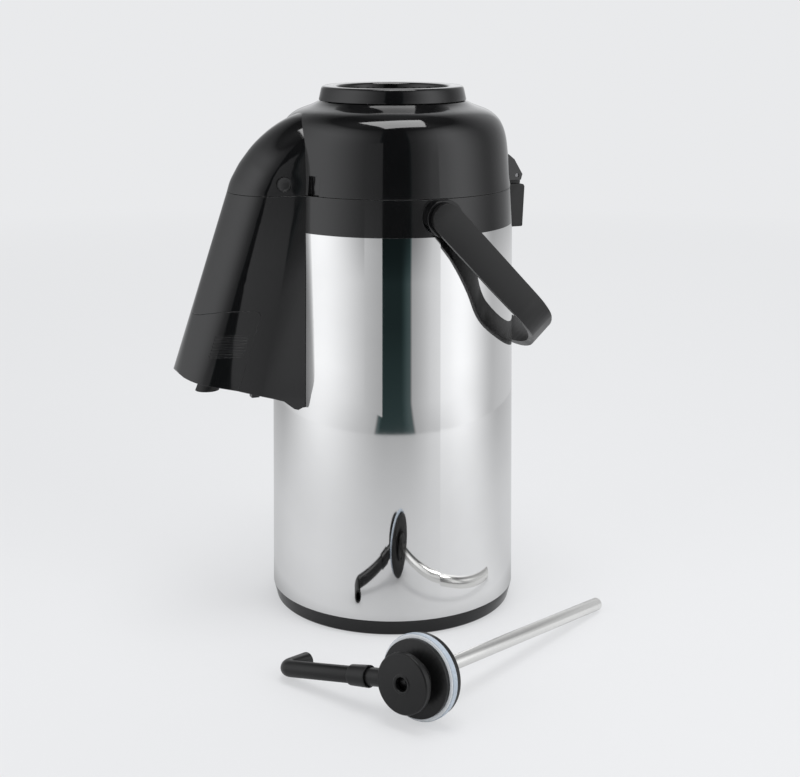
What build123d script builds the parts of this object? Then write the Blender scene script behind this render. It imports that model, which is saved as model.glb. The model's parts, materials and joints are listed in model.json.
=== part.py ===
from build123d import *
import math
import os

# Insulated beverage dispenser with a pump lid, its pump stem taken out and laid in front.
# Millimetres. Origin: centre of the base's rest face, +Z up, spout towards -Y,
# lid hinge towards +Y, carrying handle pivots on the X axis's two sides.

# Driving dimensions of the pot
BASE_TOP = 12.4
BASE_RADIUS_LOW = 89.4
SHELL_RADIUS_LOW = 92.0
SHELL_TOP = 290.0
SHELL_RADIUS_TOP = 88.3
SHELL_WALL = 1.0
SEAM = 316.0
COLLAR_RADIUS_TOP = 86.9
COLLAR_WALL = 2.6
DECK_TOP = 299.0
DECK_THICK = 3.0
SEAM_GAP = 0.4

# Inner vacuum bottle and its mouth
BOTTLE_RADIUS = 80.0
BOTTLE_WALL = 6.0
BOTTLE_LOW = 22.0
NECK_RADIUS = 27.0
NECK_TOP = 288.0
SEAT_RADIUS = 28.8
THROAT_RADIUS = 26.3
PLUG_RADIUS = 24.0

# Spout nose: plan from its front ridge as (half width, depth), sheared forwards as it goes down
NOSE_OUTLINE = [(0, 0), (9.5, 1.1), (17.5, 4.05), (24.2, 8.65), (28.8, 14.3), (31.2, 20.9), (32.7, 28),
                (34.4, 37), (35.9, 47), (36.8, 57), (37, 67)]
NOSE_FRONT = -124.6
NOSE_LEAN = 0.338
HOUSING_WALL = 2.6
COVER_WALL = 2.2
GRIP_RIBS = 7
GRIP_PITCH = 2.35
GRIP_LOW = 204.6
GRIP_FRONT = -149.6
GRIP_REAR = -126.8
GRIP_DEPTH = 0.6
DUCT_RADIUS = 8.0
DUCT_TOP_Y = -105.0
DUCT_LEAN = 0.41
DUCT_LOW = 174.5
SCREW_X = 24.0
SCREW_Z = 292.0
SCREW_RADIUS = 1.25

# Rear hinge
HINGE_Y = 98.0
HINGE_Z = 320.0
HINGE_HALF = 9.0
HINGE_PIN_RADIUS = 1.5
HINGE_SCREW_HEIGHTS = (SHELL_TOP + 3.2, SHELL_TOP + 16)

# Carrying handle
PIVOT_Z = 303.8
PIVOT_RADIUS = 5.0
BOSS_RADIUS = 13.2
BOSS_FACE = 96.7
STRAP_IN = 97.0
STRAP_THICK = 5.0
STRAP_WIDTH = 22.0
HANDLE_REACH = 147.9
HANDLE_BOW = 135.0
HANDLE_CORNER = 33.0
HANDLE_DROP_DEG = 46.6
GRIP_NARROWING = 2.8

# Lid
LID_WALL = 2.6
DOME_TOP = 378.0
DOME_HOLE = 44.0
RING_TOP = 389.0
RING_OUTER_LOW = 53.8
RING_OUTER_TOP = 51.5
RING_INNER = 41.0
BUTTON_RADIUS = 40.2
BUTTON_TOP = 384.2
PLATE_TOP = 323.0
PLATE_THICK = 3.0
PLATE_SCREW_CIRCLE = 76.0
RECESS_DEG = 28.6
LATCH_Y = -94.2
LATCH_Z = 324.3
LATCH_FACE = 32.5
LATCH_RADIUS = 5.0

# Pump stem, in its own frame: tube along -Z, arm along -Y, gasket's front face at z = 0
STEM_LENGTH = 224.0
TUBE_RADIUS = 4.8
TUBE_BORE = 4.0
GASKET_RADIUS = 28.2
GASKET_THICK = 5.2
RETAINER_RADIUS = 27.4
RETAINER_THICK = 4.6
FLANGE_RADIUS = 25.5
FLANGE_THICK = 3.2
CAP_RADIUS = 19.7
CAP_FACE = 16.8
CAP_THICK = 5.0
ARM_HEIGHT = 6.6
ARM_REACH = 107.5
ARM_RADIUS = 5.6
NOZZLE_LENGTH = 23.0
ARM_BEND = 6.2
STUB_RADIUS = 6.0
STUB_END = 43.5
COUPLING_START = 33.5
COUPLING_END = 48.5
COUPLING_RADIUS = 7.3
O_RING_AT = 39.0

# Where the stem lies on the floor beside the pot
STEM_SPOT_X = 207.5
STEM_SPOT_Y = -66.8
STEM_HEADING_DEG = 119.9

CLEAR = 0.3
SLIDE_FIT = 0.06


def shell_radius(z):
    """Outer radius of the steel shell at height z."""
    return SHELL_RADIUS_LOW + (SHELL_RADIUS_TOP - SHELL_RADIUS_LOW) * (z - BASE_TOP) / (SHELL_TOP - BASE_TOP)


def turned(points):
    """Solid of revolution about Z of a closed outline of (radius, height) points."""
    outline = Polyline(*[(r, 0, z) for r, z in points], close=True)
    return revolve(make_face(outline), Axis.Z, 360)


def slab(points, x_low, x_high):
    """Side outline of (y, z) points, extruded from x_low to x_high."""
    outline = Polyline(*[(x_low, y, z) for y, z in points], close=True)
    return extrude(make_face(outline), amount=x_high - x_low, dir=(1, 0, 0))


def rod(radius, start, end):
    """Round bar from start to end."""
    line = Line(start, end)
    return sweep(Plane(origin=start, z_dir=line % 0) * Circle(radius), path=line)


def box_between(low, high):
    """Block from its low corner to its high corner."""
    size = [h - l for l, h in zip(low, high)]
    centre = [(h + l) / 2 for l, h in zip(low, high)]
    return Pos(*centre) * Box(*size)


def spring(radius, wire, low, high, turns):
    """Helical compression spring standing on Z, with its ends' centres at low and high."""
    path = Pos(0, 0, low) * Helix(pitch=(high - low) / turns, height=high - low, radius=radius)
    return sweep(Plane(origin=path @ 0, z_dir=path % 0) * Circle(wire), path=path, is_frenet=True)


# Base

def make_base_cup():
    spigot = SHELL_RADIUS_LOW - SHELL_WALL - 0.4
    return turned([
        (PLUG_RADIUS + 1, 2), (77.5, 2), (77.5, 3.4), (84.5, 3.4), (84.5, 0.6), (88.2, 0.6),
        (BASE_RADIUS_LOW, 1.8), (SHELL_RADIUS_LOW, BASE_TOP), (spigot, BASE_TOP), (spigot, 20),
        (spigot - 3, 20), (spigot - 3, 8.4), (84, 5.6), (PLUG_RADIUS + 1, 5.6)])


def make_foot_ring():
    return turned([(77.5, 0), (84.5, 0), (84.5, 3.4), (77.5, 3.4)])


def make_support_plug():
    plug = turned([(0, 0), (PLUG_RADIUS + 6, 0), (PLUG_RADIUS + 6, 2), (PLUG_RADIUS + 1, 2),
                   (PLUG_RADIUS + 1, 7), (PLUG_RADIUS + 6, 7), (PLUG_RADIUS + 6, 10), (0, 10)])
    finger = Pos(0, 0, 2.5) * Box(12, 9, 5.1)
    return plug - Pos(15, 0, 0) * finger - Pos(-15, 0, 0) * finger


def make_bottle_cushion():
    return turned([(0, 10), (46, 10), (46, 16), (46, 26), (40, 26), (40, BOTTLE_LOW), (0, BOTTLE_LOW)])


# Pot

def make_outer_shell():
    low = BASE_TOP
    return turned([
        (shell_radius(low), low), (shell_radius(SHELL_TOP), SHELL_TOP),
        (shell_radius(SHELL_TOP) - SHELL_WALL, SHELL_TOP), (shell_radius(low) - SHELL_WALL, low)])


def make_vacuum_bottle():
    inner = BOTTLE_RADIUS - BOTTLE_WALL
    return turned([
        (0, BOTTLE_LOW), (40, BOTTLE_LOW), (40, 26), (62, 27), (74, 33), (BOTTLE_RADIUS, 45),
        (BOTTLE_RADIUS, 215), (74, 236), (56, 253), (38, 263), (NECK_RADIUS + 6, 272),
        (NECK_RADIUS + 6, NECK_TOP), (NECK_RADIUS, NECK_TOP), (NECK_RADIUS, 269), (34, 258),
        (52, 248), (68.5, 232), (inner, 214), (inner, 47), (69, 38), (58, 33), (0, 31)])


def make_neck_seal():
    high = NECK_TOP + 3
    return turned([(THROAT_RADIUS, NECK_TOP), (35, NECK_TOP), (35, high), (THROAT_RADIUS, high)])


def make_mouth_ring():
    low = NECK_TOP + 3
    return turned([
        (THROAT_RADIUS, low), (36.5, low), (36.5, DECK_TOP), (41, DECK_TOP), (41, DECK_TOP + 2.4),
        (SEAT_RADIUS + 1, DECK_TOP + 2.4), (SEAT_RADIUS, DECK_TOP + 1), (SEAT_RADIUS, low + 3),
        (THROAT_RADIUS, low + 3)])


def collar_outer(z):
    """Outer radius of the collar at height z."""
    return SHELL_RADIUS_TOP + (COLLAR_RADIUS_TOP - SHELL_RADIUS_TOP) * (z - SHELL_TOP) / (SEAM - SHELL_TOP)


def make_collar():
    inner = COLLAR_RADIUS_TOP - COLLAR_WALL
    spigot = SHELL_RADIUS_TOP - SHELL_WALL - 0.3
    collar = turned([
        (36.5, DECK_TOP - DECK_THICK), (inner, DECK_TOP - DECK_THICK), (inner, 281), (spigot, 281),
        (spigot, SHELL_TOP), (SHELL_RADIUS_TOP, SHELL_TOP), (COLLAR_RADIUS_TOP, SEAM), (inner, SEAM),
        (inner, DECK_TOP), (36.5, DECK_TOP)])
    for side in (1, -1):
        boss = rod(BOSS_RADIUS, (side * 76, 0, PIVOT_Z), (side * BOSS_FACE, 0, PIVOT_Z))
        boss -= Pos(0, 0, 150) * Cylinder(collar_outer(SEAM) - 0.5, 500)
        outer = turned([(0, SHELL_TOP + 0.2), (120, SHELL_TOP + 0.2), (120, SEAM - 0.2), (0, SEAM - 0.2)])
        collar += boss & outer
        hub = rod(9, (side * 80, 0, PIVOT_Z), (side * 87, 0, PIVOT_Z)) & outer
        collar += hub
        collar -= rod(PIVOT_RADIUS + SLIDE_FIT, (side * 83, 0, PIVOT_Z), (side * 99, 0, PIVOT_Z))
        collar -= screw_bar(side, SCREW_RADIUS, -78, -99)
    for z in HINGE_SCREW_HEIGHTS:
        collar -= hinge_screw_bar(SCREW_RADIUS, z, 80, 98)
    collar -= turned([(0, 280), (82, 280), (82, DECK_TOP - DECK_THICK), (0, DECK_TOP - DECK_THICK)])
    arm_slot = box_between((-9, -95, DECK_TOP), (9, -78, SEAM + 5))
    return collar - arm_slot


# Spout nose

def nose_points(inset, deepest):
    """Both sides of the nose's plan as (x, depth), drawn in by inset."""
    side = [point for point in NOSE_OUTLINE if point[1] <= deepest]
    return drawn_in(list(reversed(side)) + [(-x, depth) for x, depth in side[1:]], inset)


def nose_plan(z, inset):
    """Plan face of the nose at height z, its sides and front drawn in by inset."""
    front = NOSE_FRONT - NOSE_LEAN * (SEAM - z)
    points = [(x, front + depth, z) for x, depth in nose_points(inset, 70)]
    right, left = points[0], points[-1]
    rest = Polyline(left, (left[0], -20, z), (right[0], -20, z), right)
    return make_face(Spline(*points) + rest)


def nose_prism(inset, low, high):
    """Leaning prism of the nose's plan between two heights."""
    lean = Vector(0, -NOSE_LEAN, -1)
    length = (high - low) * lean.length
    return extrude(nose_plan(high, inset), amount=length, dir=lean)


def pot_keepout(gap):
    """The space of the shell and collar, grown by a gap below the collar."""
    return turned([
        (0, 100), (shell_radius(100) + gap, 100), (SHELL_RADIUS_TOP + gap, SHELL_TOP),
        (SHELL_RADIUS_TOP, SHELL_TOP), (COLLAR_RADIUS_TOP, SEAM), (COLLAR_RADIUS_TOP, SEAM + 4), (0, SEAM + 4)])


def nose_side_outline(drop):
    """Side outline of the lower nose, its underside raised by drop."""
    points = [(-190, 192), (-166.8, 191.8), (-166.4, 190.2), (-164.8, 188.8), (-161.8, 187.5),
              (-157.6, 186.2), (-132, 180.6), (-105, 172.5), (-98, 170), (-90.5, 163.8), (-87.4, 162.8),
              (-84.2, 164.2), (-10, 167)]
    return [(-10, SEAM + 20), (-190, SEAM + 20)] + [(y, z + drop) for y, z in points]


COVER_OUTLINE = [(-190, 223), (-156, 230), (-148, 234), (-138, 236.8), (-117.5, 236.8), (-114.4, 235.6),
                 (-113.5, 232.8), (-134.2, 170), (-190, 170)]


def cover_region(grow):
    """Region of the removable spout cover, larger by grow at its two inner edges."""
    points = [(y + (grow if -140 < y else 0), z + (grow if z > 200 else 0)) for y, z in COVER_OUTLINE]
    return slab(points, -60, 60)


def make_spout_housing():
    body = nose_prism(0, 150, SEAM) & slab(nose_side_outline(0), -60, 60)
    skin = nose_prism(-1, 150, SEAM) - nose_prism(COVER_WALL + 0.15, 150, SEAM)
    under = slab(nose_side_outline(0), -60, 60) - slab(nose_side_outline(COVER_WALL + 0.15), -70, 70)
    body -= skin & cover_region(0.15)
    body -= under & cover_region(0.15)
    upper = nose_prism(HOUSING_WALL, 150, SEAM + 2) - cover_region(4)
    lower = nose_prism(COVER_WALL + 0.15 + HOUSING_WALL, 150, SEAM + 2)
    hollow = (upper + lower) & slab(nose_side_outline(COVER_WALL + 0.15 + HOUSING_WALL), -60, 60)
    back_wall = pot_keepout(HOUSING_WALL + 0.3)
    hollow -= back_wall
    body -= hollow
    body -= pot_keepout(0.3)
    body -= box_between((-9, -96, DECK_TOP), (9, -78, SEAM + 5))
    for side in (1, -1):
        body -= screw_bar(side, SCREW_RADIUS, -78, -99)
        body += box_between((side * 30 - 3, -120.5, 174), (side * 30 + 3, -115, 179.5))
    return body - duct_bar(DUCT_RADIUS, 150)


def screw_bar(side, radius, y_start, y_end):
    """Round bar on the axis of a screw that holds the housing to the collar."""
    return rod(radius, (side * SCREW_X, y_start, SCREW_Z), (side * SCREW_X, y_end, SCREW_Z))


def duct_bar(radius, low):
    """Leaning bar on the duct's axis, from below its cup down to the height low."""
    top = Vector(0, DUCT_TOP_Y, 270)
    end = Vector(0, DUCT_TOP_Y - DUCT_LEAN * (270 - low), low)
    return rod(radius, tuple(top), tuple(end))


def make_spout_duct():
    cup = Pos(0, DUCT_TOP_Y, 0) * turned([(0, 262), (DUCT_RADIUS, 262), (13, 278), (13, 296), (0, 296)])
    bore = Pos(0, DUCT_TOP_Y, 0) * turned([(0, 268), (DUCT_RADIUS - 2, 268), (11, 280), (11, 297), (0, 297)])
    pipe = duct_bar(DUCT_RADIUS, 140) & box_between((-20, -200, DUCT_LOW), (20, -50, 300))
    passage = duct_bar(DUCT_RADIUS - 2, 135)
    return cup + pipe - bore - passage


def make_spout_cover():
    body = nose_prism(0, 150, SEAM) & slab(nose_side_outline(0), -60, 60) & cover_region(-0.15)
    body -= nose_prism(COVER_WALL, 150, SEAM + 2) & slab(nose_side_outline(COVER_WALL), -70, 70)
    body -= duct_bar(DUCT_RADIUS + 1.2, 140)
    opening = box_between((-DUCT_RADIUS - 1.2, -141, 150), (DUCT_RADIUS + 1.2, -100, 194))
    body -= opening
    skin = nose_prism(-1, 150, SEAM) - nose_prism(GRIP_DEPTH, 150, SEAM)
    for row in range(GRIP_RIBS):
        z = GRIP_LOW + row * GRIP_PITCH
        shift = row * GRIP_PITCH * NOSE_LEAN
        body -= skin & box_between((-60, GRIP_FRONT + shift, z), (60, GRIP_REAR + shift, z + GRIP_PITCH / 2))
    return body


def make_housing_screws():
    return [screw_bar(side, 2.6, -76.5, -79) + screw_bar(side, SCREW_RADIUS, -79, -94) for side in (1, -1)]


# Rear hinge

def make_hinge_bracket():
    block = slab([(80, 281), (102.4, 281), (103, 281.6), (104.3, 311.4), (103.4, 313), (100, 313.6),
                  (80, 313.6)],
                 -HINGE_HALF, HINGE_HALF)
    tongue = slab([(90, 312), (102.4, 312), (103, HINGE_Z), (101.5, HINGE_Z + 3.6), (98, HINGE_Z + 5),
                   (94.5, HINGE_Z + 3.6), (93, HINGE_Z)], -4.7, 4.7)
    bracket = block + tongue - rod(HINGE_PIN_RADIUS, (-20, HINGE_Y, HINGE_Z), (20, HINGE_Y, HINGE_Z))
    bracket -= pot_keepout(0.3)
    for z in HINGE_SCREW_HEIGHTS:
        bracket -= hinge_screw_bar(SCREW_RADIUS, z, 80, 98)
    return bracket


def hinge_screw_bar(radius, z, y_start, y_end):
    """Round bar on the axis of a screw that holds the hinge bracket to the collar."""
    return rod(radius, (0, y_start, z), (0, y_end, z))


def make_hinge_screws():
    return [hinge_screw_bar(2.6, z, 81.8, 84.1) + hinge_screw_bar(SCREW_RADIUS, z, 84.1, 96)
            for z in HINGE_SCREW_HEIGHTS]


def make_hinge_pin():
    end = HINGE_HALF - 0.8
    return rod(HINGE_PIN_RADIUS, (-end, HINGE_Y, HINGE_Z), (end, HINGE_Y, HINGE_Z))


# Carrying handle: a flat strap bent in its own plane, then dropped behind the pot

def handle_plane():
    """Plane of the strap's path: x along X, y from the pivots out to the grip."""
    drop = math.radians(HANDLE_DROP_DEG)
    return Plane(origin=(0, 0, PIVOT_Z), x_dir=(1, 0, 0), z_dir=(0, math.sin(drop), math.cos(drop)))


def strap_area(grow):
    """Flat area inside the strap's middle line, grown outwards by grow."""
    half = STRAP_IN + STRAP_THICK / 2
    bow_centre = HANDLE_REACH - STRAP_THICK / 2 - HANDLE_BOW
    corner_x = half - HANDLE_CORNER
    corner_y = bow_centre + math.sqrt((HANDLE_BOW - HANDLE_CORNER) ** 2 - corner_x ** 2)
    angle = math.atan2(corner_y - bow_centre, corner_x)
    reach = HANDLE_CORNER + grow
    meet = (corner_x + reach * math.cos(angle), corner_y + reach * math.sin(angle))
    middle = (corner_x + reach * math.cos(angle / 2), corner_y + reach * math.sin(angle / 2))
    side = half + grow
    with BuildSketch() as sketch:
        with BuildLine():
            Line((-side, -20), (side, -20))
            Line((side, -20), (side, corner_y))
            ThreePointArc((side, corner_y), middle, meet)
            ThreePointArc(meet, (0, bow_centre + HANDLE_BOW + grow), (-meet[0], meet[1]))
            ThreePointArc((-meet[0], meet[1]), (-middle[0], middle[1]), (-side, corner_y))
            Line((-side, corner_y), (-side, -20))
        make_face()
    return sketch.sketch


def make_handle():
    outline = strap_area(STRAP_THICK / 2) - strap_area(-STRAP_THICK / 2)
    strap = Pos(0, 0, -STRAP_WIDTH / 2) * extrude(outline, amount=STRAP_WIDTH)
    strap -= box_between((-90, -60, -40), (90, 0, 40))
    half = STRAP_WIDTH / 2
    round_end = rod(half, (-120, 0, 0), (120, 0, 0)) + box_between((-120, 0, -half), (120, 200, half))
    strap &= round_end
    narrow = GRIP_NARROWING - half
    strap -= slab([(60, -half - 1), (60, -half), (100, 0.8 - half), (128, narrow), (200, narrow),
                   (200, -half - 1)], -120, 120)
    strap = handle_plane().location * strap
    return strap - pivot_bar(1, STRAP_IN + 3.5) - pivot_bar(-1, STRAP_IN + 3.5)


def pivot_bar(side, outer):
    """Round bar on the handle's pivot axis."""
    return rod(PIVOT_RADIUS, (side * 85, 0, PIVOT_Z), (side * outer, 0, PIVOT_Z))


def make_handle_pins():
    return [pivot_bar(side, STRAP_IN + 3.5) for side in (1, -1)]


# Lid

DOME_PROFILE = [(86.9, SEAM + SEAM_GAP), (85.4, 330), (84.1, 344), (81.8, 356.5), (76.5, 366.3),
                (67.8, 372.2), (60.4, 374.9), (56.8, 376.5), (54.2, DOME_TOP)]
HOOD_RIDGE = [(-130, 300), (-127.3, 308), (-124.6, SEAM), (-121.9, 324.1), (-118.6, 330.2), (-115.1, 336.1),
              (-110.7, 341.9), (-105.8, 347.8), (-100.1, 353.4), (-93.6, 358.8), (-86, 363.9), (-78.2, 368),
              (-70, 371), (-61.4, 373), (-52, 373.9), (-42, 374.1)]
HOOD_DEPTH = 50.0


def drawn_in(points, inset):
    """Points of an open profile moved by inset towards its right-hand side."""
    moved = []
    for index, (a, b) in enumerate(points):
        before = points[max(index - 1, 0)]
        after = points[min(index + 1, len(points) - 1)]
        run = (after[0] - before[0], after[1] - before[1])
        length = math.hypot(*run)
        moved.append((a + inset * run[1] / length, b - inset * run[0] / length))
    return moved


def dome(inset):
    """Solid of the dome inside its outer profile drawn in by inset."""
    points = [(r, z) for r, z in reversed(drawn_in([(-r, z) for r, z in DOME_PROFILE], inset))]
    points = [(-r, z) for r, z in points]
    low = (points[-1][0], SEAM + SEAM_GAP)
    points[-1] = low
    top = points[0][1]
    curve = Spline(*[(r, 0, z) for r, z in points])
    rest = Polyline((low[0], 0, low[1]), (0, 0, low[1]), (0, 0, top), (DOME_HOLE, 0, top),
                    (points[0][0], 0, points[0][1]))
    return revolve(make_face(curve + rest), Axis.Z, 360)


def hood(inset):
    """Solid of the nose part of the lid: the nose's outline carried up along the ridge, drawn in by inset."""
    upright = 1 / math.hypot(1, NOSE_LEAN)
    start = HOOD_RIDGE[0]
    plane = Plane(origin=(0, start[0], start[1]), x_dir=(1, 0, 0), z_dir=(0, NOSE_LEAN, 1))
    points = [(x, depth * upright) for x, depth in nose_points(inset, HOOD_DEPTH)]
    section = make_face(Spline(*points) + Polyline(points[-1], points[0]))
    path = Spline(*[(0, y, z) for y, z in HOOD_RIDGE], tangents=[(0, NOSE_LEAN, 1), (0, 1, 0)])
    return sweep(plane.location * section, path=path)


def make_lid_shell():
    low = SEAM + SEAM_GAP
    lid = (dome(0) + hood(0)) & turned([(0, low), (140, low), (140, 400), (0, 400)])
    lid -= dome(LID_WALL) + hood(LID_WALL)
    lid -= turned([(0, 360), (DOME_HOLE, 360), (DOME_HOLE, 400), (0, 400)])
    knuckle = [(83, 340.6), (87, 338.6), (91.6, 335.4), (95.5, 332.2), (102.4, 320.8), (101.2, 316.5),
               (83, 316.5)]
    for side in (1, -1):
        x_low, x_high = sorted((side * 5, side * HINGE_HALF))
        lid += slab(knuckle, x_low, x_high)
        pocket = box_between((-6.6, -86, low), (6.6, -81.7, 331.4)) & dome(0.2)
        lid += Rot(0, 0, side * RECESS_DEG) * pocket
        lid -= Rot(0, 0, side * RECESS_DEG) * box_between((-5.2, -90, SEAM), (5.2, -83.0, 330))
        lid -= latch_bar(side, LATCH_RADIUS + CLEAR, 20, 60)
    lid -= rod(HINGE_PIN_RADIUS + SLIDE_FIT, (-20, HINGE_Y, HINGE_Z), (20, HINGE_Y, HINGE_Z))
    for angle in (45, 135, 225, 315):
        post = plate_screw(angle, 3.6, PLATE_TOP, 372) & dome(LID_WALL / 2)
        lid += post - plate_screw(angle, SCREW_RADIUS, 310, 334)
    return lid


def plate_screw(angle, radius, low, high):
    """Upright round bar on the axis of one of the lid plate's screws."""
    bar = turned([(0, low), (radius, low), (radius, high), (0, high)])
    return Rot(0, 0, angle) * Pos(PLATE_SCREW_CIRCLE, 0, 0) * bar


def latch_bar(side, radius, x_start, x_end):
    """Round bar on the latch buttons' common axis."""
    return rod(radius, (side * x_start, LATCH_Y, LATCH_Z), (side * x_end, LATCH_Y, LATCH_Z))


def make_lid_plate():
    low = PLATE_TOP - PLATE_THICK
    plate = turned([(5, low), (81.2, low), (81.2, PLATE_TOP), (36, PLATE_TOP), (36, PLATE_TOP + 3),
                    (34.4, PLATE_TOP + 3), (34.4, PLATE_TOP), (5, PLATE_TOP)])
    for angle in (45, 135, 225, 315):
        plate -= plate_screw(angle, SCREW_RADIUS, 310, 334)
    return plate


def make_lid_screws():
    low = PLATE_TOP - PLATE_THICK
    return [plate_screw(angle, 2.6, low - 1.4, low) + plate_screw(angle, SCREW_RADIUS, low, low + 11)
            for angle in (45, 135, 225, 315)]


def make_lid_seal():
    low = PLATE_TOP - PLATE_THICK
    return turned([(7, low - 3.2), (14, low - 3.2), (16, low), (6, low)])


def make_lock_ring():
    mid = (RING_INNER + RING_OUTER_TOP) / 2
    clip_top = DOME_TOP - LID_WALL - 1
    clip_low = clip_top - 2.8
    return turned([
        (RING_OUTER_LOW - 0.6, DOME_TOP + CLEAR), (RING_OUTER_LOW, DOME_TOP + CLEAR + 0.6),
        (RING_OUTER_TOP + 0.5, RING_TOP - 1.9), (RING_OUTER_TOP - 0.3, RING_TOP - 0.5),
        (RING_OUTER_TOP - 1.7, RING_TOP), (mid, RING_TOP), (RING_INNER + 1, RING_TOP - 0.4),
        (RING_INNER, RING_TOP - 1.6), (RING_INNER, clip_low), (45.2, clip_low), (45.2, clip_top),
        (43.6, clip_top), (43.6, DOME_TOP + CLEAR)])


def make_push_button():
    return turned([
        (0, 380.6), (30, 381.8), (36, BUTTON_TOP - 0.6), (38.4, BUTTON_TOP),
        (BUTTON_RADIUS - 0.4, BUTTON_TOP - 0.6), (BUTTON_RADIUS, BUTTON_TOP - 1.8), (BUTTON_RADIUS, 366),
        (38.2, 366), (38.2, 379.6), (0, 378.4)])


def make_bellows():
    low, high, folds, outer, inner, wall = PLATE_TOP, 378, 7, 33.6, 27.5, 1.3
    step = (high - low - 4) / folds
    outside = [(outer, low), (outer, low + 2)]
    for fold in range(folds):
        outside.append((inner + wall, low + 2 + (fold + 0.5) * step))
        outside.append((outer, low + 2 + (fold + 1) * step))
    outside.append((outer, high))
    inside = [(r - wall, z) for r, z in outside]
    return turned(outside + list(reversed(inside)))


def make_bellows_spring():
    return spring(19, 1.0, PLATE_TOP + 1.2, 376.6, 7)


def make_air_flap():
    high = PLATE_TOP + 1.6
    return turned([(0, PLATE_TOP), (14, PLATE_TOP), (14, PLATE_TOP + 0.9), (3, high), (0, high)])


def make_latch_button(side):
    disc = latch_bar(side, LATCH_RADIUS, LATCH_FACE - 3, LATCH_FACE)
    disc -= latch_bar(side, LATCH_RADIUS - 1, LATCH_FACE - 0.4, LATCH_FACE + 5)
    stem = latch_bar(side, 2.2, LATCH_FACE - 14, LATCH_FACE - 3)
    x_low, x_high = sorted((side * (LATCH_FACE - 9), side * (LATCH_FACE - 7)))
    hook = box_between((x_low, LATCH_Y - 2.5, SEAM + 1), (x_high, LATCH_Y + 2.5, LATCH_Z + 2))
    return disc + stem + hook


# Pump stem in its own frame

def make_stem_head():
    head = turned([
        (0, -14), (12, -14), (12, -0.1), (12, 0), (FLANGE_RADIUS, 0), (FLANGE_RADIUS, FLANGE_THICK),
        (13, FLANGE_THICK), (13, CAP_FACE - CAP_THICK), (0, CAP_FACE - CAP_THICK)])
    stub = rod(STUB_RADIUS, (0, 0, ARM_HEIGHT), (0, -STUB_END, ARM_HEIGHT))
    head += stub & box_between((-20, -80, 0), (20, 20, 20))
    head -= rod(3.4, (0, 0, ARM_HEIGHT), (0, -STUB_END - 1, ARM_HEIGHT))
    head -= turned([(0, -20), (TUBE_RADIUS, -20), (TUBE_RADIUS, -3), (5.2, -3), (5.2, 8), (0, 8)])
    for angle in (90, 200, 340):
        head -= Rot(0, 0, angle) * Pos(9, 0, 0) * Cylinder(1.2, 60)
    near, far = -O_RING_AT - 1, -O_RING_AT + 1
    return head - about_arm([(5.2, near), (7, near), (7, far), (5.2, far)])


def about_arm(points):
    """Solid of revolution about the arm's axis of a closed outline of (radius, y) points."""
    outline = Polyline(*[(r, y, 0) for r, y in points], close=True)
    return Pos(0, 0, ARM_HEIGHT) * revolve(make_face(outline), Axis.Y, 360)


def make_arm_o_ring():
    return about_arm([(5.2, -O_RING_AT - 0.8), (STUB_RADIUS, -O_RING_AT - 0.4), (STUB_RADIUS, -O_RING_AT + 0.4),
                      (5.2, -O_RING_AT + 0.8)])


def make_stem_cap():
    low = CAP_FACE - CAP_THICK
    cap = turned([
        (4.5, low + 2), (11.5, low + 2), (11.5, low), (CAP_RADIUS - 0.4, low), (CAP_RADIUS, low + 0.4),
        (CAP_RADIUS, CAP_FACE - 0.8), (CAP_RADIUS - 0.8, CAP_FACE), (6.6, CAP_FACE), (6.2, CAP_FACE + 0.5),
        (5, CAP_FACE + 0.5), (4.5, CAP_FACE)])
    return cap - rod(STUB_RADIUS + 0.1, (0, 0, ARM_HEIGHT), (0, -60, ARM_HEIGHT))


def make_stem_gasket():
    return turned([
        (12, -GASKET_THICK), (GASKET_RADIUS - 0.6, -GASKET_THICK), (GASKET_RADIUS, -GASKET_THICK + 0.6),
        (GASKET_RADIUS, -0.6), (GASKET_RADIUS - 0.6, 0), (12, 0)])


def make_stem_retainer():
    top = -GASKET_THICK
    low = top - RETAINER_THICK
    return turned([(12, low), (RETAINER_RADIUS - 0.8, low), (RETAINER_RADIUS, low + 0.8),
                   (RETAINER_RADIUS, top - 0.4), (RETAINER_RADIUS - 0.4, top), (12, top)])


def make_stem_tube():
    return turned([(TUBE_BORE, -STEM_LENGTH), (TUBE_RADIUS, -STEM_LENGTH), (TUBE_RADIUS, -3), (TUBE_BORE, -3)])


def make_valve_ball():
    return Pos(0, 0, -3 + 1.65) * Sphere(4.3)


def arm_path(start, nozzle_end):
    """Middle line of the spout arm: out along -Y, round the elbow and down to nozzle_end."""
    corner = (0, -ARM_REACH, ARM_HEIGHT)
    return FilletPolyline((0, -start, ARM_HEIGHT), corner, (0, -ARM_REACH, nozzle_end), radius=ARM_BEND)


def make_spout_arm():
    nozzle_end = ARM_HEIGHT - NOZZLE_LENGTH
    outside = arm_path(COUPLING_END - 4.6, nozzle_end)
    inside = arm_path(COUPLING_END - 6, nozzle_end - 1)
    start = Plane(origin=outside @ 0, z_dir=outside % 0)
    arm = sweep(start * Circle(ARM_RADIUS), path=outside)
    start = Plane(origin=inside @ 0, z_dir=inside % 0)
    return arm - sweep(start * Circle(ARM_RADIUS - 2), path=inside)


def make_arm_coupling():
    return about_arm([
        (STUB_RADIUS + SLIDE_FIT, -COUPLING_START), (COUPLING_RADIUS, -COUPLING_START),
        (COUPLING_RADIUS - 0.5, -COUPLING_END), (ARM_RADIUS, -COUPLING_END),
        (ARM_RADIUS, -COUPLING_END + 4.6), (STUB_RADIUS + SLIDE_FIT, -COUPLING_END + 4.6)])


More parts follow.
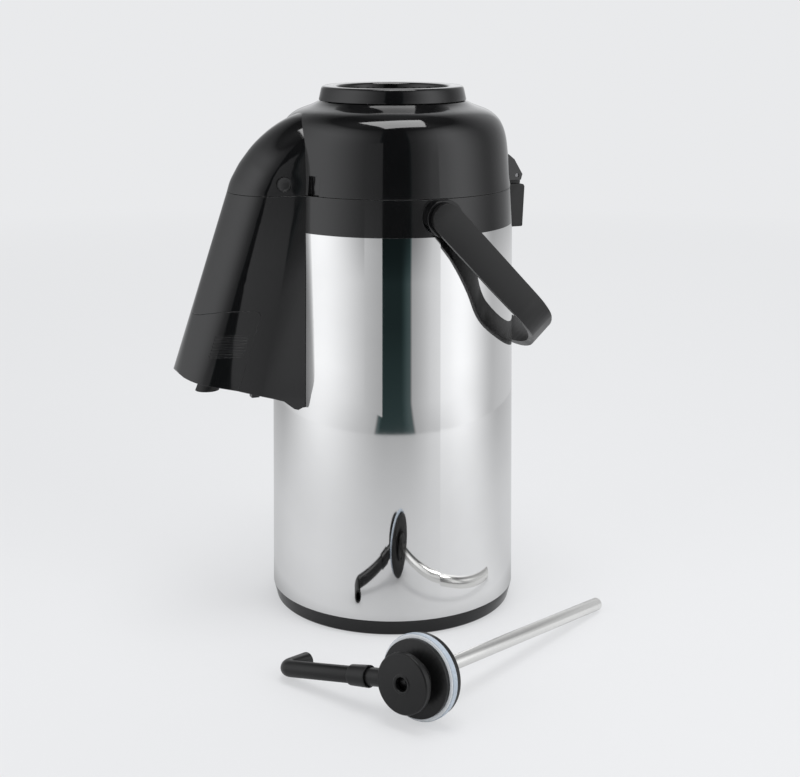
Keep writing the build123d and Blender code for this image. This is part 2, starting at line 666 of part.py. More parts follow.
def stem_place():
    """Resting place of the stem: on its gasket's rim, the tube's end and the nozzle's tip."""
    tilt = math.atan((GASKET_RADIUS - TUBE_RADIUS) / (STEM_LENGTH - GASKET_THICK))
    heading = math.radians(STEM_HEADING_DEG)
    tube = Vector(math.cos(heading) * math.cos(tilt), math.sin(heading) * math.cos(tilt), -math.sin(tilt))
    left = Vector(-math.sin(heading), math.cos(heading), 0)
    upright = tube.cross(left) * -1
    height = GASKET_RADIUS * math.cos(tilt) + GASKET_THICK * math.sin(tilt) + 0.1
    arm_height = height + ARM_HEIGHT * math.sin(tilt)
    nozzle_drop = NOZZLE_LENGTH * math.sin(tilt) + ARM_RADIUS * math.cos(tilt) + 0.1
    roll = math.asin((arm_height - nozzle_drop) / (ARM_REACH * math.cos(tilt)))
    if upright.Z < 0:
        upright = upright * -1
    arm = left * math.cos(roll) - upright * math.sin(roll)
    across = arm.cross(tube)
    plane = Plane(origin=(STEM_SPOT_X, STEM_SPOT_Y, height), x_dir=across, z_dir=tube * -1)
    return Location(plane), tube, arm


def as_one(shapes):
    """Separate solids kept together in one node."""
    return Compound(children=[solid for shape in shapes for solid in shape.solids()])


def main():
    os.makedirs("parts", exist_ok=True)
    place, tube, arm = stem_place()
    pot = {
        "base_cup": make_base_cup(),
        "foot_ring": make_foot_ring(),
        "support_plug": make_support_plug(),
        "bottle_cushion": make_bottle_cushion(),
        "outer_shell": make_outer_shell(),
        "vacuum_bottle": make_vacuum_bottle(),
        "neck_seal": make_neck_seal(),
        "mouth_ring": make_mouth_ring(),
        "shoulder_collar": make_collar(),
        "spout_housing": make_spout_housing(),
        "spout_duct": make_spout_duct(),
        "spout_cover": make_spout_cover(),
        "housing_screws": as_one(make_housing_screws()),
        "hinge_bracket": make_hinge_bracket(),
        "hinge_pin": make_hinge_pin(),
        "hinge_screws": as_one(make_hinge_screws()),
        "carry_handle": make_handle(),
        "handle_pins": as_one(make_handle_pins()),
        "lid_shell": make_lid_shell(),
        "lid_plate": make_lid_plate(),
        "lid_screws": as_one(make_lid_screws()),
        "lid_seal": make_lid_seal(),
        "lock_ring": make_lock_ring(),
        "push_button": make_push_button(),
        "bellows": make_bellows(),
        "bellows_spring": make_bellows_spring(),
        "air_flap": make_air_flap(),
        "latch_button_right": make_latch_button(1),
        "latch_button_left": make_latch_button(-1),
    }
    stem = {
        "stem_head": make_stem_head(),
        "stem_cap": make_stem_cap(),
        "stem_gasket": make_stem_gasket(),
        "stem_retainer": make_stem_retainer(),
        "stem_tube": make_stem_tube(),
        "valve_ball": make_valve_ball(),
        "arm_o_ring": make_arm_o_ring(),
        "spout_arm": make_spout_arm(),
        "arm_coupling": make_arm_coupling(),
    }
    nodes = dict(pot)
    nodes.update({name: place * shape for name, shape in stem.items()})
    for name, shape in nodes.items():
        export_step(shape, f"parts/{name}.step")
    origin = place.position
    swivel = origin - tube * ARM_HEIGHT
    print("tube direction", tuple(round(v, 5) for v in tube))
    print("arm direction", tuple(round(v, 5) for v in arm))
    print("arm axis point", tuple(round(v, 3) for v in swivel))
    print("stem head at", tuple(round(v, 3) for v in origin))


main()
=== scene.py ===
import json
import math

import bmesh
import bpy
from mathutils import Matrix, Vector


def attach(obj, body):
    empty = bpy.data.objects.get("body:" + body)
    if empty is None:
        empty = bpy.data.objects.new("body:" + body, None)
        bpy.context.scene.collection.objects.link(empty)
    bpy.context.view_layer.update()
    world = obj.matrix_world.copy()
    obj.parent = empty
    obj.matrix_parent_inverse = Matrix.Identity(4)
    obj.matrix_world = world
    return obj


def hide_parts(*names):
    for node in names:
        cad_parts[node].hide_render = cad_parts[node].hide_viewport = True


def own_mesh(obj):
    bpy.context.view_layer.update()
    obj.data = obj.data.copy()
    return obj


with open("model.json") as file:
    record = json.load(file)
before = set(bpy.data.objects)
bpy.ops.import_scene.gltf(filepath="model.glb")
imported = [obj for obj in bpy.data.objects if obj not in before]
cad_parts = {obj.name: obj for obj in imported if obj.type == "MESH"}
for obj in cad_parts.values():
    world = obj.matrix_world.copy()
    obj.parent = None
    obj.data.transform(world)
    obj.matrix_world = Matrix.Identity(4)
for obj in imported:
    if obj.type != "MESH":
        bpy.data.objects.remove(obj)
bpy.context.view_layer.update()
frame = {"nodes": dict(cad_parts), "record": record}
NODES = frame["nodes"]
BODY_OF = {name: body for body, names in frame["record"]["behaviour"]["bodies"].items() for name in names}
SLOT_OF = {row["node"]: row["material_slot"] for row in frame["record"]["subparts"]}
MM = 0.001

# Camera, from the ellipses of the pot's rings in the photograph
PHOTO_WIDTH = 800
PHOTO_HEIGHT = 777
FOCAL_PIXELS = 1496.0
SENSOR_MM = 36.0
CAMERA_REACH = 1.099
CAMERA_HEIGHT = 0.450
CAMERA_AZIMUTH = math.radians(68.0)
CAMERA_PITCH = math.radians(11.7)
AXIS_X = 392.5
AXIS_Y = 309.3

# Tones of the surroundings, linear
BACKDROP = (0.815, 0.822, 0.836)
FLOOR_TONE = (0.80, 0.806, 0.818)
AMBIENT = 0.62


# Node tree helpers

def new_material(name):
    material = bpy.data.materials.new(name)
    material.use_nodes = True
    return material, material.node_tree, material.node_tree.nodes["Principled BSDF"]


def add(tree, kind, **inputs):
    made = tree.nodes.new(kind)
    for key, value in inputs.items():
        made.inputs[key.replace("_", " ")].default_value = value
    return made


def join(tree, source, target):
    tree.links.new(source, target)


def placed(tree, scale):
    """Object coordinates stretched by scale."""
    where = tree.nodes.new("ShaderNodeTexCoord")
    mapping = tree.nodes.new("ShaderNodeMapping")
    mapping.inputs["Scale"].default_value = scale
    join(tree, where.outputs["Object"], mapping.inputs["Vector"])
    return mapping.outputs["Vector"]


def noise(tree, size, scale=(1, 1, 1), detail=3.0, rough=0.55):
    """Noise whose grains are about size metres across."""
    made = add(tree, "ShaderNodeTexNoise", Scale=1.0 / size, Detail=detail, Roughness=rough)
    join(tree, placed(tree, scale), made.inputs["Vector"])
    return made.outputs["Fac"]


def ranged(tree, source, low, high, start=0.3, end=0.7, smooth=False):
    """Source between start and end, spread from low to high."""
    made = add(tree, "ShaderNodeMapRange")
    if smooth:
        made.interpolation_type = "SMOOTHSTEP"
    for key, value in (("From Min", start), ("From Max", end), ("To Min", low), ("To Max", high)):
        made.inputs[key].default_value = value
    join(tree, source, made.inputs["Value"])
    return made.outputs["Result"]


def mixed(tree, factor, low, high):
    made = tree.nodes.new("ShaderNodeMix")
    made.data_type = "RGBA"
    made.inputs[6].default_value = (*low, 1)
    made.inputs[7].default_value = (*high, 1)
    join(tree, factor, made.inputs["Factor"])
    return made.outputs[2]


def bumped(tree, shader, height, depth, strength=1.0):
    made = add(tree, "ShaderNodeBump", Strength=strength, Distance=depth)
    join(tree, height, made.inputs["Height"])
    join(tree, made.outputs["Normal"], shader.inputs["Normal"])
    return made


def total(tree, first, second, operation="ADD"):
    made = tree.nodes.new("ShaderNodeMath")
    made.operation = operation
    for index, value in enumerate((first, second)):
        if isinstance(value, (int, float)):
            made.inputs[index].default_value = value
        else:
            join(tree, value, made.inputs[index])
    return made.outputs["Value"]


def worn_edges(tree, width):
    """0 on flats, towards 1 on convex edges."""
    geometry = tree.nodes.new("ShaderNodeNewGeometry")
    return ranged(tree, geometry.outputs["Pointiness"], 0.0, 1.0, 0.5 + width, 0.5 + 3 * width)


def aligned(tree, first, second):
    """Cosine between two directions, the second one may be fixed."""
    made = tree.nodes.new("ShaderNodeVectorMath")
    made.operation = "DOT_PRODUCT"
    join(tree, first, made.inputs[0])
    if isinstance(second, tuple):
        made.inputs[1].default_value = second
    else:
        join(tree, second, made.inputs[1])
    return made.outputs["Value"]


def tinted(tree, mask, source, colour):
    """Source, turned to colour where mask is 1."""
    made = tree.nodes.new("ShaderNodeMix")
    made.data_type = "RGBA"
    join(tree, mask, made.inputs["Factor"])
    join(tree, source, made.inputs[6])
    made.inputs[7].default_value = (*colour, 1)
    return made.outputs[2]


def split(tree, vector):
    """X, Y and Z of a vector."""
    parts = tree.nodes.new("ShaderNodeSeparateXYZ")
    join(tree, vector, parts.inputs["Vector"])
    return parts.outputs["X"], parts.outputs["Y"], parts.outputs["Z"]


def turned(tree, vector, angle):
    """Vector turned about Z."""
    made = tree.nodes.new("ShaderNodeVectorRotate")
    made.rotation_type = "Z_AXIS"
    made.inputs["Angle"].default_value = angle
    join(tree, vector, made.inputs["Vector"])
    return made.outputs["Vector"]


def background_rays(tree, path):
    """1 for the rays that see the pale background: from the camera, mirrored, or through clear stuff."""
    seen = total(tree, path.outputs["Is Camera Ray"], path.outputs["Is Glossy Ray"], "MAXIMUM")
    return total(tree, seen, path.outputs["Is Transmission Ray"], "MAXIMUM")


def azimuth(tree, where):
    """Azimuth around the pot's axis in degrees, counted as the camera's is."""
    x, y, _ = split(tree, where)
    turn = total(tree, x, total(tree, y, -1.0, "MULTIPLY"), "ARCTAN2")
    return total(tree, turn, 180 / math.pi, "MULTIPLY")


def softly_lit(tree, turn, base, lights):
    """Base tone and soft lights, each fading to both sides of its middle azimuth."""
    tone = base
    for middle, below, above, strength in lights:
        aside = tree.nodes.new("ShaderNodeMath")
        aside.operation = "WRAP"
        join(tree, total(tree, turn, middle, "SUBTRACT"), aside.inputs[0])
        aside.inputs[1].default_value = 180
        aside.inputs[2].default_value = -180
        rise = ranged(tree, aside.outputs["Value"], 0.0, strength, -below, 0.0, smooth=True)
        fall = ranged(tree, aside.outputs["Value"], 1.0, 0.0, 0.0, above, smooth=True)
        tone = total(tree, total(tree, rise, fall, "MULTIPLY"), tone)
    return tone


# Materials

# Radius of the plastic's edges in metres, the tone painted into the colour along them (a painted highlight on
# the dark plastics), and cosines of the turn over which it fades in
EDGE_RADIUS = 0.0005
PAINTED_EDGE_TONE = (0.050, 0.050, 0.051)
PAINTED_EDGE_TURN = (0.78, 0.97)
# Index that matches how much the dark plastic mirrors, and how rough its coat and its worn edges are
PLASTIC_IOR = 1.44
COAT_ROUGHNESS = 0.04
WEAR_WIDTH = 0.03
WEAR_ROUGHNESS = 0.06
# Sizes in metres of the clouds in the colour, of the smears in the gloss and of the rubber's grain
PLASTIC_CLOUD = 0.045
PLASTIC_SMEAR = 0.02
METAL_CLOUD = 0.06
METAL_SMEAR = 0.03
RUBBER_CLOUD = 0.012
RUBBER_SMEAR = 0.004
RUBBER_GRAIN = 0.0006
RUBBER_GRAIN_DEPTH = 0.00004
# The gasket's front face, which points this way, is painted whiter than its rim: a painted highlight for the
# light falling on that face
GASKET_LIT_FRONT = ((0.496, -0.862, 0.106), (0.74, 0.765, 0.79))
LIT_FRONT_TURN = (0.70, 0.95)


def plastic(name, dark, light, rough_low, rough_high, grain, grain_depth, coat=0.0):
    material, tree, shader = new_material(name)
    cloud = noise(tree, PLASTIC_CLOUD, detail=4)
    smear = noise(tree, PLASTIC_SMEAR, (1, 1, 0.35), detail=5)
    tone = mixed(tree, ranged(tree, cloud, 0, 1), dark, light)
    rounded = add(tree, "ShaderNodeBevel", Radius=EDGE_RADIUS)
    rounded.samples = 6
    flat = tree.nodes.new("ShaderNodeNewGeometry")
    # Painted highlight: the colour along rounded edges is turned to a fixed paler tone, as if they caught the
    # light
    painted_edge_mask = ranged(tree, aligned(tree, rounded.outputs["Normal"], flat.outputs["Normal"]), 1.0, 0.0, *PAINTED_EDGE_TURN)
    join(tree, tinted(tree, painted_edge_mask, tone, PAINTED_EDGE_TONE), shader.inputs["Base Color"])
    rough = total(tree, ranged(tree, smear, rough_low, rough_high),
                  ranged(tree, worn_edges(tree, WEAR_WIDTH), 0.0, WEAR_ROUGHNESS, 0, 1))
    join(tree, rough, shader.inputs["Roughness"])
    fine = noise(tree, grain, detail=2)
    grained = bumped(tree, shader, fine, grain_depth, 0.5)
    join(tree, rounded.outputs["Normal"], grained.inputs["Normal"])
    shader.inputs["IOR"].default_value = PLASTIC_IOR
    shader.inputs["Coat Weight"].default_value = coat
    shader.inputs["Coat Roughness"].default_value = COAT_ROUGHNESS
    return material


def metal(name, dark, light, rough_low, rough_high, stretch, line_size, line_depth):
    material, tree, shader = new_material(name)
    shader.inputs["Metallic"].default_value = 1.0
    cloud = noise(tree, METAL_CLOUD, detail=3)
    join(tree, mixed(tree, ranged(tree, cloud, 0, 1), dark, light), shader.inputs["Base Color"])
    lines = noise(tree, line_size, stretch, detail=4)
    smear = noise(tree, METAL_SMEAR, detail=4)
    uneven = total(tree, total(tree, lines, 0.6, "MULTIPLY"), total(tree, smear, 0.4, "MULTIPLY"))
    rough = ranged(tree, uneven, rough_low, rough_high)
    join(tree, rough, shader.inputs["Roughness"])
    bumped(tree, shader, lines, line_depth, 0.4)
    return material


def rubber(name, dark, light, rough_low, rough_high, weight=0.0, lit_front=None):
    material, tree, shader = new_material(name)
    cloud = noise(tree, RUBBER_CLOUD, detail=4)
    tone = mixed(tree, ranged(tree, cloud, 0, 1), dark, light)
    if lit_front:
        facing, colour = lit_front
        # Painted highlight: faces that point along the given direction are painted in the paler colour
        where = tree.nodes.new("ShaderNodeTexCoord")
        mask = ranged(tree, aligned(tree, where.outputs["Normal"], facing), 0.0, 1.0, *LIT_FRONT_TURN)
        tone = tinted(tree, mask, tone, colour)
    join(tree, tone, shader.inputs["Base Color"])
    join(tree, ranged(tree, noise(tree, RUBBER_SMEAR), rough_low, rough_high), shader.inputs["Roughness"])
    bumped(tree, shader, noise(tree, RUBBER_GRAIN, detail=2), RUBBER_GRAIN_DEPTH, 0.5)
    shader.inputs["Subsurface Weight"].default_value = weight
    shader.inputs["Subsurface Radius"].default_value = (0.002, 0.002, 0.0022)
    return material


MATERIALS = {
    "gloss_black": plastic("gloss_black_plastic", (0.0040, 0.0040, 0.0043), (0.0056, 0.0056, 0.0059),
                           0.06, 0.10, 0.0016, 0.000004, 0.5),
    "satin_black": plastic("satin_black_plastic", (0.0045, 0.0045, 0.0047), (0.0065, 0.0065, 0.0067),
                           0.28, 0.38, 0.0005, 0.00002),
    "inner_plastic": plastic("pale_inner_plastic", (0.55, 0.56, 0.55), (0.62, 0.63, 0.61),
                             0.38, 0.5, 0.0006, 0.00003),
    "polished_steel": metal("polished_steel", (0.84, 0.84, 0.838), (0.88, 0.88, 0.878),
                            0.028, 0.05, (1.0, 1.0, 0.05), 0.004, 0.0000008),
    "steel_tube": metal("satin_steel_tube", (0.88, 0.875, 0.855), (0.93, 0.925, 0.905),
                        0.20, 0.28, (1, 1, 1), 0.0004, 0.0000005),
    "screw_steel": metal("blackened_screw_steel", (0.14, 0.14, 0.145), (0.22, 0.22, 0.225),
                         0.22, 0.38, (1, 1, 1), 0.0012, 0.000004),
    "bottle_wall": metal("silvered_bottle", (0.70, 0.71, 0.73), (0.80, 0.81, 0.83),
                         0.10, 0.2, (1, 1, 0.3), 0.01, 0.00001),
    "black_rubber": rubber("black_rubber", (0.012, 0.012, 0.012), (0.022, 0.022, 0.022), 0.6, 0.8),
    "grey_rubber": rubber("grey_rubber", (0.16, 0.165, 0.17), (0.22, 0.225, 0.23), 0.5, 0.7),
    "white_silicone": rubber("pale_silicone", (0.42, 0.48, 0.55), (0.47, 0.53, 0.60), 0.24, 0.34, 0.2,
                             GASKET_LIT_FRONT),
}


def painted(piece, slot):
    piece.data.materials.clear()
    piece.data.materials.append(MATERIALS[slot])


# Pieces that stand in for a node

def standing_in(node, ending, mesh):
    piece = bpy.data.objects.new(node + ending, mesh)
    bpy.context.scene.collection.objects.link(piece)
    painted(piece, SLOT_OF[node])
    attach(piece, BODY_OF[node])
    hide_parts(node)
    return piece


EDGE_SEGMENTS = 3
SHARP_ANGLE = math.radians(28.0)
WELD = 0.00002


def softened(node, width):
    """A piece with the node's form, its sharp edges rounded by width in millimetres."""
    mesh = NODES[node].data.copy()
    shape = bmesh.new()
    shape.from_mesh(mesh)
    bmesh.ops.remove_doubles(shape, verts=shape.verts, dist=WELD)
    for face in shape.faces:
        face.smooth = True
    shape.to_mesh(mesh)
    shape.free()
    piece = standing_in(node, "_finish", mesh)
    bevel = piece.modifiers.new("edges", "BEVEL")
    bevel.width = width * MM
    bevel.segments = EDGE_SEGMENTS
    bevel.limit_method = "ANGLE"
    bevel.angle_limit = SHARP_ANGLE
    bevel.miter_outer = "MITER_ARC"
    bevel.harden_normals = True


for name, cad_node in NODES.items():
    painted(cad_node, SLOT_OF[name])

# Edge widths in millimetres, from the widths of the highlights along the edges in the photograph
EDGE_WIDTHS = {
    "carry_handle": 0.9, "hinge_bracket": 0.5, "latch_button_right": 0.22, "latch_button_left": 0.22,
    "lock_ring": 0.5, "push_button": 0.4, "stem_cap": 0.35, "stem_gasket": 0.5, "stem_retainer": 0.3,
    "stem_head": 0.3, "arm_coupling": 0.35, "spout_arm": 0.5, "base_cup": 0.4, "foot_ring": 0.4,
    "stem_tube": 0.25, "mouth_ring": 0.4,
}
for name, width in EDGE_WIDTHS.items():
    softened(name, width)


# Bellows and its spring, which the button presses flat towards the lid plate on the pot, stood in here by
# plain copies of their meshes


def pressed(node):
    piece = standing_in(node, "_pressed", NODES[node].data.copy())
    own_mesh(piece)


pressed("bellows")
pressed("bellows_spring")


# Floor, lamps, camera

# Floor's radius, its drop below the pot's foot that keeps the two faces apart, and its gloss
FLOOR_RADIUS = 30.0
FLOOR_DROP = 0.0002
FLOOR_ROUGHNESS = 0.85
FLOOR_SPECULAR = 0.1
# Share of its own glow that the floor shows near the pot, and distances from the axis over which that grows
FLOOR_GLOW = 0.62
GLOW_REACH = (0.5, 2.2)
# Floor's tones in reflections, near the pot and where it meets the walls, and where the second takes over.
# Each light has its middle azimuth, how far it fades below and above that in degrees, and its tone.
NEAR_BASE = 0.41
NEAR_LIGHTS = [(6, 111, 67, 0.24), (136, 72, 39, 0.25), (-165, 121, 121, 0.11)]
MEETING_BASE = 0.45
MEETING_LIGHTS = [(0, 57, 64, 0.47), (131, 53, 53, 0.53), (-122, 84, 54, 0.16)]
MEETING_REACH = (0.3, 0.64)
# Mirrored floor beside the base, in the pot's own shade: its share of the tone, and where the shade ends
SHADE_SHARE = 0.45
SHADE_INNER = 0.093
SHADE_OUTER = 0.135


def make_floor():
    shape = bmesh.new()
    bmesh.ops.create_circle(shape, cap_ends=True, radius=FLOOR_RADIUS, segments=96)
    mesh = bpy.data.meshes.new("floor")
    shape.to_mesh(mesh)
    shape.free()
    floor = bpy.data.objects.new("floor", mesh)
    floor.location.z = -FLOOR_DROP
    bpy.context.scene.collection.objects.link(floor)
    material, tree, shader = new_material("pale_floor")
    shader.inputs["Roughness"].default_value = FLOOR_ROUGHNESS
    shader.inputs["Specular IOR Level"].default_value = FLOOR_SPECULAR
    shader.inputs["Base Color"].default_value = (*FLOOR_TONE, 1)
    where = tree.nodes.new("ShaderNodeTexCoord")
    reach = tree.nodes.new("ShaderNodeVectorMath")
    reach.operation = "LENGTH"
    join(tree, where.outputs["Object"], reach.inputs[0])
    path = tree.nodes.new("ShaderNodeLightPath")
    edge = ranged(tree, reach.outputs["Value"], 0.0, 1.0, *MEETING_REACH)
    edge = total(tree, edge, path.outputs["Is Glossy Ray"], "MULTIPLY")
    far = total(tree, ranged(tree, reach.outputs["Value"], 0.0, 1.0, *GLOW_REACH), edge, "MAXIMUM")
    share = total(tree, total(tree, far, 1.0 - FLOOR_GLOW, "MULTIPLY"), FLOOR_GLOW)
    turn = azimuth(tree, where.outputs["Object"])
    near_tone = softly_lit(tree, turn, NEAR_BASE, NEAR_LIGHTS)
    meeting_tone = softly_lit(tree, turn, MEETING_BASE, MEETING_LIGHTS)
    meeting = tree.nodes.new("ShaderNodeMix")
    join(tree, edge, meeting.inputs["Factor"])
    join(tree, total(tree, near_tone, 1.0 / BACKDROP[1], "MULTIPLY"), meeting.inputs[2])
    join(tree, total(tree, meeting_tone, 1.0 / BACKDROP[1], "MULTIPLY"), meeting.inputs[3])
    shade = ranged(tree, reach.outputs["Value"], SHADE_SHARE, 1.0, SHADE_INNER, SHADE_OUTER)
    mirrored = total(tree, meeting.outputs[0], shade, "MULTIPLY")
    strength = tree.nodes.new("ShaderNodeMix")
    strength.inputs[2].default_value = 1.0
    join(tree, path.outputs["Is Glossy Ray"], strength.inputs["Factor"])
    join(tree, mirrored, strength.inputs[3])
    glow = add(tree, "ShaderNodeEmission", Color=(*BACKDROP, 1))
    join(tree, strength.outputs[0], glow.inputs["Strength"])
    blend = tree.nodes.new("ShaderNodeMixShader")
    join(tree, total(tree, background_rays(tree, path), share, "MULTIPLY"), blend.inputs["Fac"])
    join(tree, shader.outputs["BSDF"], blend.inputs[1])
    join(tree, glow.outputs["Emission"], blend.inputs[2])
    join(tree, blend.outputs["Shader"], tree.nodes["Material Output"].inputs["Surface"])
    mesh.materials.append(material)


def make_world():
    world = bpy.data.worlds.new("studio")
    world.use_nodes = True
    tree = world.node_tree
    output = tree.nodes["World Output"]
    ambient = tree.nodes["Background"]
    ambient.inputs["Color"].default_value = (*BACKDROP, 1)
    ambient.inputs["Strength"].default_value = AMBIENT
    seen_light = add(tree, "ShaderNodeBackground", Color=(*BACKDROP, 1), Strength=1.0)
    blend = tree.nodes.new("ShaderNodeMixShader")
    join(tree, background_rays(tree, tree.nodes.new("ShaderNodeLightPath")), blend.inputs["Fac"])
    join(tree, ambient.outputs["Background"], blend.inputs[1])
    join(tree, seen_light.outputs["Background"], blend.inputs[2])
    join(tree, blend.outputs["Shader"], output.inputs["Surface"])
    bpy.context.scene.world = world


# Point that the lamps at the sides look at
LAMP_TARGET = (0, 0, 0.2)


def around(azimuth_deg, reach, height):
    """Point at reach from the pot's axis, azimuth counted as the camera's is."""
    a = math.radians(azimuth_deg)
    return Vector((math.sin(a) * reach, -math.cos(a) * reach, height))


def make_lamp(name, place, target, width, tall, watts):
    data = bpy.data.lights.new(name, "AREA")
    data.shape = "RECTANGLE"
    data.size = width
    data.size_y = tall
    data.energy = watts
    lamp = bpy.data.objects.new(name, data)
    lamp.location = place
    lamp.rotation_mode = "QUATERNION"
    lamp.rotation_quaternion = (Vector(target) - place).to_track_quat("-Z", "Y")
    bpy.context.scene.collection.objects.link(lamp)


def spun(name, profile, steps):
    """Surface of revolution about Z through (radius, height) points."""
    shape = bmesh.new()
    rows = []
    for radius, height in profile:
        if radius == 0:
            rows.append([shape.verts.new((0, 0, height))])
            continue
        rows.append([shape.verts.new((radius * math.cos(2 * math.pi * k / steps),
                                      radius * math.sin(2 * math.pi * k / steps), height))
                     for k in range(steps)])
    for low, high in zip(rows, rows[1:]):
        for k in range(steps):
            m = (k + 1) % steps
            if len(low) == 1:
                shape.faces.new((low[0], high[m], high[k]))
            elif len(high) == 1:
                shape.faces.new((low[k], low[m], high[0]))
            else:
                shape.faces.new((low[k], low[m], high[m], high[k]))
    for face in shape.faces:
        face.smooth = True
    mesh = bpy.data.meshes.new(name)
    shape.to_mesh(mesh)
    shape.free()
    made = bpy.data.objects.new(name, mesh)
    bpy.context.scene.collection.objects.link(made)
    return made


# Tones of the studio's walls: a base and a left, a right and a back light, given as the floor's are
WALL_BASE = 0.34
WALL_LIGHTS = [(1, 80, 67, 0.70), (130, 51, 45, 0.74), (-128, 121, 87, 0.30)]
WALL_TOP = 1.08
# Dark gap between the left and the right light: its two sides in degrees, its tone, and the paler rims in it
GAP_LEFT_SIDE = (55.6, 57.4)
GAP_RIGHT_SIDE = (83.2, 85.2)
GAP_TONE = 0.010
LEFT_RIM_TONE = 0.07
LEFT_RIM = (57.4, 60.4)
RIGHT_RIM_TONE = 0.06
RIGHT_RIM = (74.5, 84.0)
GAP_TINT = (0.50, 0.84, 0.86)
TINTED_TONES = (0.03, 0.2)
# Lift of the tones from the floor up to a height in metres, and narrowing of the gap at its foot
GAP_LIFT_LOW = 0.032
GAP_LIFT_HIGH = 0.009
GAP_LIFT_TOP = 0.12
GAP_MIDDLE = 71.0
GAP_FLARE = 0.76
GAP_FLARE_TOP = 0.035
# Bright tones fade towards the foot of the walls, and all tones towards their top
FOOT_FADE = 0.25
FOOT_FADE_TOP = 0.07
FOOT_FADE_TONES = (0.5, 1.5)
TOP_TONE = 0.12
TOP_FADE = (0.75, 1.5)
# Higher light behind the ring, seen in its rim and in the dome: direction, spread as cosines, and heights
BACK_LIGHT = 0.55
BACK_LIGHT_SIDE = (-0.927, 0.375, 0.0)
BACK_LIGHT_SPREAD = (0.90, 0.99)
BACK_LIGHT_RISE = (0.36, 0.44)
# More contrast above a height
UPPER_CONTRAST = 1.8
UPPER_GAIN = 1.12
UPPER_START = 0.165
UPPER_END = 0.23
TENT_PROFILE = [(0.655, 0.0), (0.67, 0.5), (0.70, 1.0), (0.86, 1.6), (0.95, 2.05), (0, 2.15)]


def only_mirrored(piece):
    """Leave a staged piece to the mirrored rays."""
    piece.visible_camera = False
    piece.visible_diffuse = False
    piece.visible_shadow = False
    piece.visible_transmission = False


def wall_tone(tree, turn):
    """Tone of the walls by azimuth, with the dark gap cut out of their lights."""
    lit = softly_lit(tree, turn, WALL_BASE, WALL_LIGHTS)
    inside = total(tree, ranged(tree, turn, 0.0, 1.0, *GAP_LEFT_SIDE),
                   ranged(tree, turn, 1.0, 0.0, *GAP_RIGHT_SIDE), "MULTIPLY")
    rims = total(tree, ranged(tree, turn, LEFT_RIM_TONE, 0.0, *LEFT_RIM, smooth=True),
                 ranged(tree, turn, 0.0, RIGHT_RIM_TONE, *RIGHT_RIM, smooth=True))
    dark = total(tree, total(tree, rims, GAP_TONE), inside, "MULTIPLY")
    return total(tree, total(tree, lit, total(tree, 1.0, inside, "SUBTRACT"), "MULTIPLY"), dark)


def make_tent():
    """Studio walls around the pot, seen only in reflections: soft light at the sides, a dark gap in front."""
    tent = spun("studio_tent", TENT_PROFILE, 128)
    material, tree, shader = new_material("studio_walls")
    where = tree.nodes.new("ShaderNodeTexCoord")
    x, y, z = split(tree, where.outputs["Object"])
    spread = tree.nodes.new("ShaderNodeCombineXYZ")
    join(tree, x, spread.inputs["X"])
    join(tree, y, spread.inputs["Y"])
    along, across, _ = split(tree, turned(tree, spread.outputs["Vector"], -math.radians(GAP_MIDDLE - 90)))
    squeeze = ranged(tree, z, GAP_FLARE, 1.0, 0.0, GAP_FLARE_TOP)
    narrowed = tree.nodes.new("ShaderNodeCombineXYZ")
    join(tree, along, narrowed.inputs["X"])
    join(tree, total(tree, across, squeeze, "MULTIPLY"), narrowed.inputs["Y"])
    back = turned(tree, narrowed.outputs["Vector"], math.radians(GAP_MIDDLE - 90))
    tone = total(tree, wall_tone(tree, azimuth(tree, back)), 1.0 / WALL_TOP, "MULTIPLY")
    depth = ranged(tree, z, 1.0, UPPER_CONTRAST, UPPER_START, UPPER_END)
    gain = ranged(tree, z, WALL_TOP, WALL_TOP * UPPER_GAIN, UPPER_START, UPPER_END)
    tone = total(tree, total(tree, tone, depth, "POWER"), gain, "MULTIPLY")
    tone = total(tree, tone, ranged(tree, z, GAP_LIFT_LOW, GAP_LIFT_HIGH, 0.0, GAP_LIFT_TOP))
    level = tree.nodes.new("ShaderNodeVectorMath")
    level.operation = "NORMALIZE"
    join(tree, spread.outputs["Vector"], level.inputs[0])
    facing = aligned(tree, level.outputs["Vector"], BACK_LIGHT_SIDE)
    behind = ranged(tree, facing, 0.0, BACK_LIGHT, *BACK_LIGHT_SPREAD)
    above = ranged(tree, z, 0.0, 1.0, *BACK_LIGHT_RISE)
    tone = total(tree, tone, total(tree, behind, above, "MULTIPLY"))
    excess = total(tree, ranged(tree, tone, 0.0, 1.0, *FOOT_FADE_TONES),
                   ranged(tree, z, FOOT_FADE, 0.0, 0.0, FOOT_FADE_TOP), "MULTIPLY")
    tone = total(tree, tone, excess, "SUBTRACT")
    tall = ranged(tree, z, 1.0, TOP_TONE, *TOP_FADE)
    glow = tree.nodes.new("ShaderNodeEmission")
    paleness = ranged(tree, tone, 0.0, 1.0, *TINTED_TONES)
    join(tree, mixed(tree, paleness, GAP_TINT, BACKDROP), glow.inputs["Color"])
    strength = total(tree, total(tree, tone, 1.0 / BACKDROP[1], "MULTIPLY"), tall, "MULTIPLY")
    join(tree, strength, glow.inputs["Strength"])
    join(tree, glow.outputs["Emission"], tree.nodes["Material Output"].inputs["Surface"])
    tent.data.materials.append(material)
    only_mirrored(tent)


# A soft card beside the nose, in metres; its tones carry on the wall's behind it
CARD_X = 0.16
CARD_Y = (-0.148, -0.089)
CARD_Z = (0.14, 0.40)
CARD_TONES = (0.55, 0.41)
CARD_DIMMED = 0.68
CARD_FADE = (0.265, 0.33)


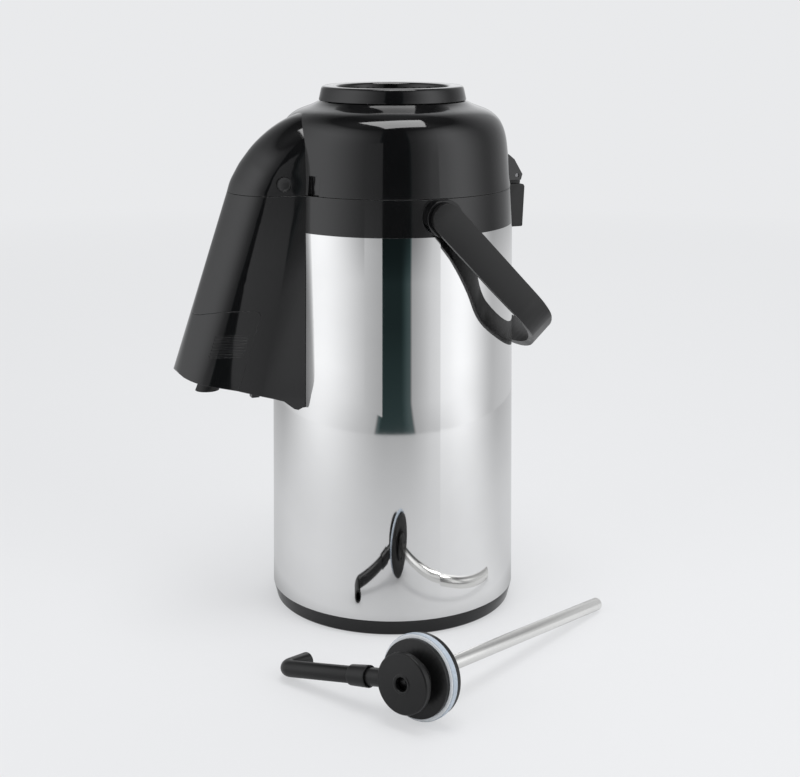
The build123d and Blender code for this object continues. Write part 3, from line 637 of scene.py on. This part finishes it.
def make_card():
    """Upright card seen only in reflections, which keeps the side of the nose out of the dark gap."""
    corners = [(CARD_X, CARD_Y[0], CARD_Z[0]), (CARD_X, CARD_Y[1], CARD_Z[0]), (CARD_X, CARD_Y[1], CARD_Z[1]),
               (CARD_X, CARD_Y[0], CARD_Z[1])]
    mesh = bpy.data.meshes.new("nose_card")
    mesh.from_pydata(corners, [], [(0, 1, 2, 3)])
    card = bpy.data.objects.new("nose_card", mesh)
    bpy.context.scene.collection.objects.link(card)
    material, tree, shader = new_material("card_glow")
    where = tree.nodes.new("ShaderNodeTexCoord")
    _, y, z = split(tree, where.outputs["Object"])
    glow = add(tree, "ShaderNodeEmission", Color=(*BACKDROP, 1))
    tone = ranged(tree, y, *CARD_TONES, *CARD_Y)
    dimmed = ranged(tree, z, 1.0 / BACKDROP[1], CARD_DIMMED / BACKDROP[1], *CARD_FADE)
    join(tree, total(tree, tone, dimmed, "MULTIPLY"), glow.inputs["Strength"])
    join(tree, glow.outputs["Emission"], tree.nodes["Material Output"].inputs["Surface"])
    mesh.materials.append(material)
    only_mirrored(card)


def make_camera():
    data = bpy.data.cameras.new("camera")
    data.sensor_fit = "HORIZONTAL"
    data.sensor_width = SENSOR_MM
    data.lens = FOCAL_PIXELS / PHOTO_WIDTH * SENSOR_MM
    data.shift_x = (PHOTO_WIDTH / 2 - AXIS_X) / PHOTO_WIDTH
    data.shift_y = (AXIS_Y - PHOTO_HEIGHT / 2) / PHOTO_WIDTH
    data.clip_end = 60.0
    camera = bpy.data.objects.new("camera", data)
    camera.location = around(math.degrees(CAMERA_AZIMUTH), CAMERA_REACH, CAMERA_HEIGHT)
    back = Vector((math.sin(CAMERA_AZIMUTH) * math.cos(CAMERA_PITCH),
                   -math.cos(CAMERA_AZIMUTH) * math.cos(CAMERA_PITCH), math.sin(CAMERA_PITCH)))
    camera.rotation_mode = "QUATERNION"
    camera.rotation_quaternion = (-back).to_track_quat("-Z", "Y")
    bpy.context.scene.collection.objects.link(camera)
    bpy.context.scene.camera = camera


make_floor()
make_world()
make_tent()
make_card()
make_lamp("top_softbox", Vector((0.25, 0.0, 1.87)), (0.25, 0.001, 0.2), width=0.95, tall=0.95, watts=14)
make_lamp("left_softbox", around(20, 1.5, 0.8), LAMP_TARGET, width=0.8, tall=1.4, watts=4)
make_lamp("right_softbox", around(118, 1.5, 0.8), LAMP_TARGET, width=0.8, tall=1.4, watts=8)
make_lamp("back_softbox", around(235, 1.6, 1.2), LAMP_TARGET, width=1.4, tall=1.0, watts=6)
make_camera()
bpy.context.scene.view_settings.view_transform = "Standard"
